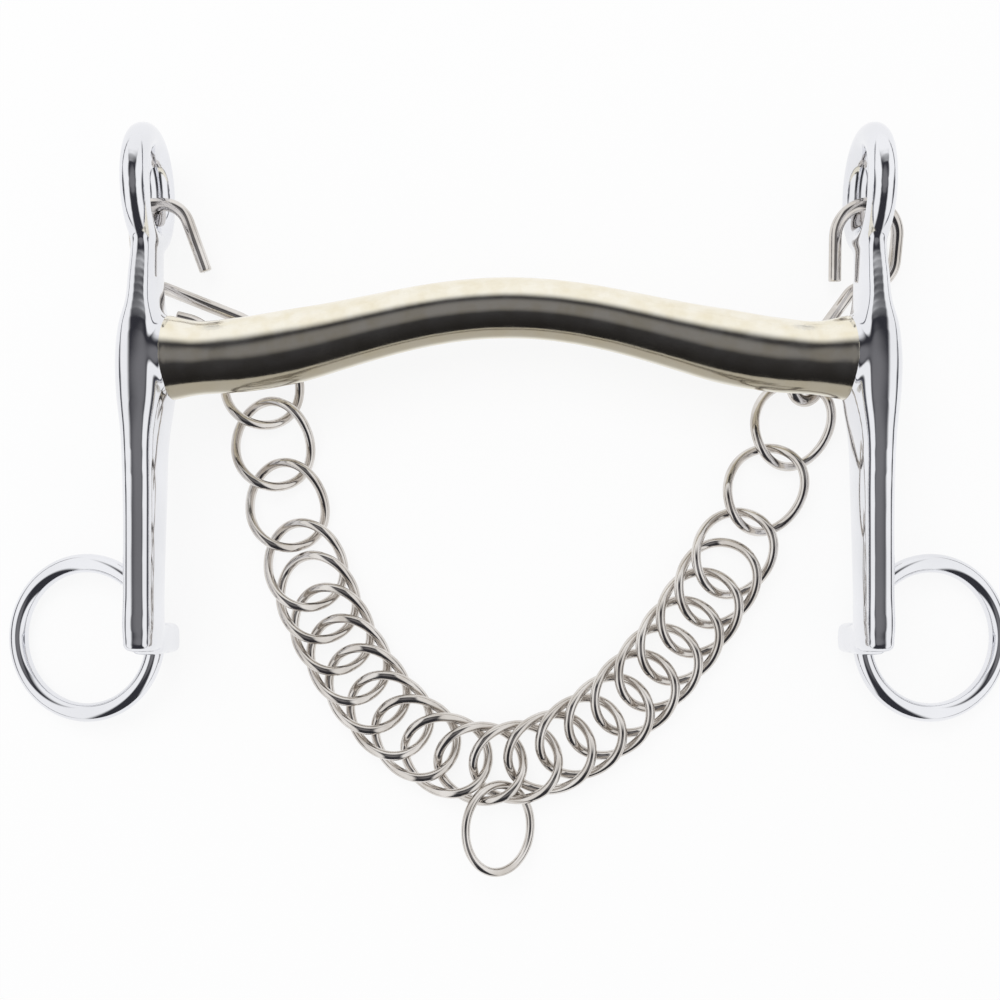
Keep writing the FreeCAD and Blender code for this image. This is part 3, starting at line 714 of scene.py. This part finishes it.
# ---------------------------------------------------------------- curb chain and fly link
def chain_stations():
    """Middle and heading of each link, on a cubic Bezier curve that hangs between the hooks and is
    as long as the links' steps added up."""
    inner, rail = 0.0204 - 2 * 0.0020, 0.0204 - 0.0020
    steps = np.array([inner - 0.0029] * 3 + [(inner - 0.0015) / 2] * 18 + [inner - 0.0011] * 2)
    steps[9:13] += 0.0002
    end_run = rail / 2 - SEAT_PLAY
    whole = 2 * end_run + steps.sum()
    t = np.linspace(0, 1, 6001)[:, None]
    weights = np.concatenate([(1 - t) ** 3, 3 * (1 - t) ** 2 * t, 3 * (1 - t) * t ** 2, t ** 3], 1)

    def route(drop):
        """The curve for a given drop, and its length up to each point."""
        corners = np.array([LEFT_SEAT, LEFT_SEAT + [0.015, -drop, 0],
                            RIGHT_SEAT + [-0.038, -0.9 * drop, 0], RIGHT_SEAT])
        curve = weights @ corners
        hops = np.linalg.norm(np.diff(curve, axis=0), axis=1)
        return curve, np.concatenate([[0], np.cumsum(hops)])

    low, high = 0.005, 2 * whole
    for _ in range(50):
        drop = (low + high) / 2
        if route(drop)[1][-1] < whole:
            low = drop
        else:
            high = drop
    curve, run = route(drop)
    at = end_run + np.concatenate([[0], np.cumsum(steps)])
    middle = np.stack([np.interp(at, run, curve[:, k]) for k in range(2)], 1)
    ahead = np.stack([np.interp(at + 0.0002, run, curve[:, k]) for k in range(2)], 1)
    return middle, np.arctan2(*(ahead - middle).T[::-1])


def link_rings(rows=110, sides=20):
    """Rings of one link: an oval centreline whose height is minus the twist times the sine of twice
    its angle, with a faint seam where the wire's ends meet."""
    s = sizes()
    t = np.linspace(0, 2 * np.pi, rows, endpoint=False)
    path = np.stack([(s.link_long - s.link_wire) / 2 * np.cos(t),
                     (s.link_wide - s.link_wire) / 2 * np.sin(t),
                     -s.link_twist * np.sin(2 * t)], 1)
    seam = np.exp(-((t - 1.75) / 0.03) ** 2) * 0.04
    return wire_rings(path, s.link_wire / 2 * (1 - seam), True, sides)


def turned(rings, angle):
    """Rings turned about the Z axis."""
    c, n = math.cos(angle), math.sin(angle)
    return rings @ np.array([[c, n, 0], [-n, c, 0], [0, 0, 1]])


class BIT_OT_curb_chain(bpy.types.Operator):
    """Add the twisted links of the curb chain"""
    bl_idname = "curb_bit.curb_chain"
    bl_label = "Curb Chain"

    def execute(self, context):
        s = sizes()
        rings = link_rings()
        middle, heading = chain_stations()
        for number, ((x, y), angle) in enumerate(zip(middle, heading), 1):
            node = "link_%02d" % number
            placed = turned(rings, angle) + [x, y + BAR_Y, s.link_twist + LINK_LIFT]
            made = ring_surface(node + "_wire", placed, True)
            finish_piece(made, node, node, chain_steel())
        return {"FINISHED"}


def fly_rings(rows=120, sides=24):
    """Rings of the fly link: a flat oval, turned by its roll, pitch and yaw where it hangs."""
    s = sizes()
    t = np.linspace(0, 2 * np.pi, rows, endpoint=False)
    path = np.stack([(s.fly_wide - s.fly_wire) / 2 * np.cos(t),
                     (s.fly_long - s.fly_wire) / 2 * np.sin(t), 0 * t], 1)
    rings = wire_rings(path, s.fly_wire / 2, True, sides)
    yaw, pitch, roll = np.radians([-14.15, -21.6, 21.43])
    about_y = np.array([[math.cos(roll), 0, math.sin(roll)], [0, 1, 0],
                        [-math.sin(roll), 0, math.cos(roll)]])
    about_x = np.array([[1, 0, 0], [0, math.cos(pitch), -math.sin(pitch)],
                        [0, math.sin(pitch), math.cos(pitch)]])
    about_z = np.array([[math.cos(yaw), -math.sin(yaw), 0],
                        [math.sin(yaw), math.cos(yaw), 0], [0, 0, 1]])
    middle, _ = chain_stations()
    at = np.array([middle[11][0] + 0.003885, middle[11][1] - 0.013636 + BAR_Y, 0.005327])
    return rings @ (about_z @ about_x @ about_y).T + at


class BIT_OT_fly_link(bpy.types.Operator):
    """Add the fly link in the middle of the chain"""
    bl_idname = "curb_bit.fly_link"
    bl_label = "Fly Link"

    def execute(self, context):
        made = ring_surface("fly_link_wire", fly_rings(), True)
        finish_piece(made, "fly_link", "fly_link", chain_steel())
        return {"FINISHED"}


# ---------------------------------------------------------------- stage
def table_material():
    """White table that keeps a soft shadow: its own shading mixed with plain white where it is seen
    straight or in metal."""
    made = bpy.data.materials.new("White Table")
    made.use_nodes = True
    nodes, links = made.node_tree.nodes, made.node_tree.links
    shader, out = nodes["Principled BSDF"], nodes["Material Output"]
    shader.inputs["Base Color"].default_value = (*finishes().table, 1.0)
    shader.inputs["Roughness"].default_value = 0.9
    shader.inputs["Specular IOR Level"].default_value = 0.1
    white = nodes.new("ShaderNodeEmission")
    white.inputs["Color"].default_value = (1, 1, 1, 1)
    white.inputs["Strength"].default_value = 1.0
    light = nodes.new("ShaderNodeLightPath")
    most = nodes.new("ShaderNodeMath")
    most.operation = "MAXIMUM"
    links.new(light.outputs["Is Camera Ray"], most.inputs[0])
    links.new(light.outputs["Is Glossy Ray"], most.inputs[1])
    through_glass = nodes.new("ShaderNodeMath")
    through_glass.operation = "MAXIMUM"
    links.new(most.outputs[0], through_glass.inputs[0])
    links.new(light.outputs["Is Transmission Ray"], through_glass.inputs[1])
    part = nodes.new("ShaderNodeMath")
    part.operation = "MULTIPLY"
    part.inputs[1].default_value = 0.86
    links.new(through_glass.outputs[0], part.inputs[0])
    mix = nodes.new("ShaderNodeMixShader")
    links.new(part.outputs[0], mix.inputs["Fac"])
    links.new(shader.outputs["BSDF"], mix.inputs[1])
    links.new(white.outputs["Emission"], mix.inputs[2])
    links.new(mix.outputs["Shader"], out.inputs["Surface"])
    return made


def studio_world():
    """Even pale light for the surfaces, and for metal a white studio with a dark opening overhead:
    the mirror sees the opening straight above, greyer at its centre, pale walls round it and a dark
    line at the horizon."""
    world = bpy.data.worlds.new("Studio")
    bpy.context.scene.world = world
    world.use_nodes = True
    nodes, links = world.node_tree.nodes, world.node_tree.links
    nodes.clear()
    out = nodes.new("ShaderNodeOutputWorld")
    place = nodes.new("ShaderNodeTexCoord")
    parts = nodes.new("ShaderNodeSeparateXYZ")
    links.new(place.outputs["Generated"], parts.inputs[0])

    def math_node(operation, first, second=None, clamp=False):
        """A Math node of two values, each a number or a socket."""
        made = nodes.new("ShaderNodeMath")
        made.operation = operation
        made.use_clamp = clamp
        for socket, value in zip(made.inputs, (first, second)):
            if value is None:
                continue
            if isinstance(value, (int, float)):
                socket.default_value = value
            else:
                links.new(value, socket)
        return made.outputs[0]

    def step(value, low, high):
        """A smooth step from 0 at low to 1 at high."""
        made = nodes.new("ShaderNodeMapRange")
        made.interpolation_type = "SMOOTHSTEP"
        made.inputs["From Min"].default_value = low
        made.inputs["From Max"].default_value = high
        links.new(value, made.inputs["Value"])
        return made.outputs["Result"]

    x, y, z = (parts.outputs[k] for k in range(3))
    wide = math_node("ABSOLUTE", x)
    walls = math_node("MULTIPLY", step(wide, 0.36, 0.54), step(wide, 0.99, 0.91), True)
    back = step(y, 0.48, 0.82)
    pale = math_node("MAXIMUM", walls, back, True)
    horizon = math_node("MULTIPLY", step(z, 0.15, 0.05), step(wide, 0.45, 0.80), True)
    centre = nodes.new("ShaderNodeMix")
    centre.data_type = "RGBA"
    centre.inputs["A"].default_value = (0.035, 0.035, 0.042, 1)
    centre.inputs["B"].default_value = (0.19, 0.187, 0.195, 1)
    links.new(step(z, 0.88, 0.985), centre.inputs["Factor"])
    shade = nodes.new("ShaderNodeMix")
    shade.data_type = "RGBA"
    links.new(centre.outputs["Result"], shade.inputs["A"])
    shade.inputs["B"].default_value = (1.0, 1.0, 1.0, 1)
    links.new(pale, shade.inputs["Factor"])
    low = nodes.new("ShaderNodeMix")
    low.data_type = "RGBA"
    low.inputs["B"].default_value = (0.10, 0.10, 0.12, 1)
    links.new(shade.outputs["Result"], low.inputs["A"])
    links.new(horizon, low.inputs["Factor"])
    seen = nodes.new("ShaderNodeBackground")
    links.new(low.outputs["Result"], seen.inputs["Color"])
    even = nodes.new("ShaderNodeBackground")
    even.inputs["Color"].default_value = (1, 1, 1, 1)
    even.inputs["Strength"].default_value = 0.75
    light = nodes.new("ShaderNodeLightPath")
    mix = nodes.new("ShaderNodeMixShader")
    links.new(light.outputs["Is Glossy Ray"], mix.inputs["Fac"])
    links.new(even.outputs[0], mix.inputs[1])
    links.new(seen.outputs[0], mix.inputs[2])
    links.new(mix.outputs[0], out.inputs["Surface"])


class BIT_OT_stage(bpy.types.Operator):
    """Add the table, the light and the camera"""
    bl_idname = "curb_bit.stage"
    bl_label = "Stage"

    def execute(self, context):
        scene = context.scene
        scene.view_settings.view_transform = "Standard"
        half = 1.6
        corners = [(-half, -half, 0), (half, -half, 0), (half, half, 0), (-half, half, 0)]
        table = make_piece("table", corners, [[0, 1, 2, 3]])
        table.data.materials.append(table_material())
        studio_world()
        lamp = bpy.data.lights.new("Overhead", "AREA")
        lamp.shape, lamp.size, lamp.size_y = "RECTANGLE", 0.7, 0.7
        lamp.energy = 3.0
        overhead = bpy.data.objects.new("Overhead", lamp)
        overhead.location = (-0.25, 0.35, 0.9)
        overhead.rotation_euler = (math.radians(-21), math.radians(-15.5), 0)
        overhead.visible_glossy = False
        scene.collection.objects.link(overhead)
        lens = bpy.data.cameras.new("Camera")
        lens.lens, lens.sensor_width = 48.0, 36.0
        lens.shift_x, lens.shift_y = -0.0087, 0.1
        lens.clip_start, lens.clip_end = 0.01, 20.0
        camera = bpy.data.objects.new("Camera", lens)
        camera.location = (0.0, BAR_Y - 0.0501, 0.291)
        scene.collection.objects.link(camera)
        scene.camera = camera
        return {"FINISHED"}


# ---------------------------------------------------------------- panel and registration
class BIT_PT_panel(bpy.types.Panel):
    """Sizes, finishes and pieces of the curb bit"""
    bl_idname = "BIT_PT_panel"
    bl_label = "Curb Bit"
    bl_space_type = "VIEW_3D"
    bl_region_type = "UI"
    bl_category = "Curb Bit"

    def draw(self, context):
        layout = self.layout
        for group in (context.scene.bit_sizes, context.scene.bit_finishes):
            column = layout.column(align=True)
            for name in group.bl_rna.properties.keys():
                if name not in {"rna_type", "name"}:
                    column.prop(group, name)
        for operator in OPERATORS:
            layout.operator(operator.bl_idname)


OPERATORS = (BIT_OT_mouthpiece, BIT_OT_cheeks, BIT_OT_rein_rings, BIT_OT_curb_hooks,
             BIT_OT_curb_chain, BIT_OT_fly_link, BIT_OT_stage)
CLASSES = (BitSizes, BitFinishes) + OPERATORS + (BIT_PT_panel,)


def register():
    """Register the classes and the scene's two property groups."""
    for made in CLASSES:
        bpy.utils.register_class(made)
    bpy.types.Scene.bit_sizes = bpy.props.PointerProperty(type=BitSizes)
    bpy.types.Scene.bit_finishes = bpy.props.PointerProperty(type=BitFinishes)


def unregister():
    """Take back what register added."""
    del bpy.types.Scene.bit_finishes
    del bpy.types.Scene.bit_sizes
    for made in reversed(CLASSES):
        bpy.utils.unregister_class(made)


def main():
    register()
    bpy.ops.curb_bit.stage()
    bpy.ops.curb_bit.mouthpiece()
    bpy.ops.curb_bit.cheeks()
    bpy.ops.curb_bit.rein_rings()
    bpy.ops.curb_bit.curb_hooks()
    bpy.ops.curb_bit.curb_chain()
    bpy.ops.curb_bit.fly_link()


if __name__ == "__main__":
    main()
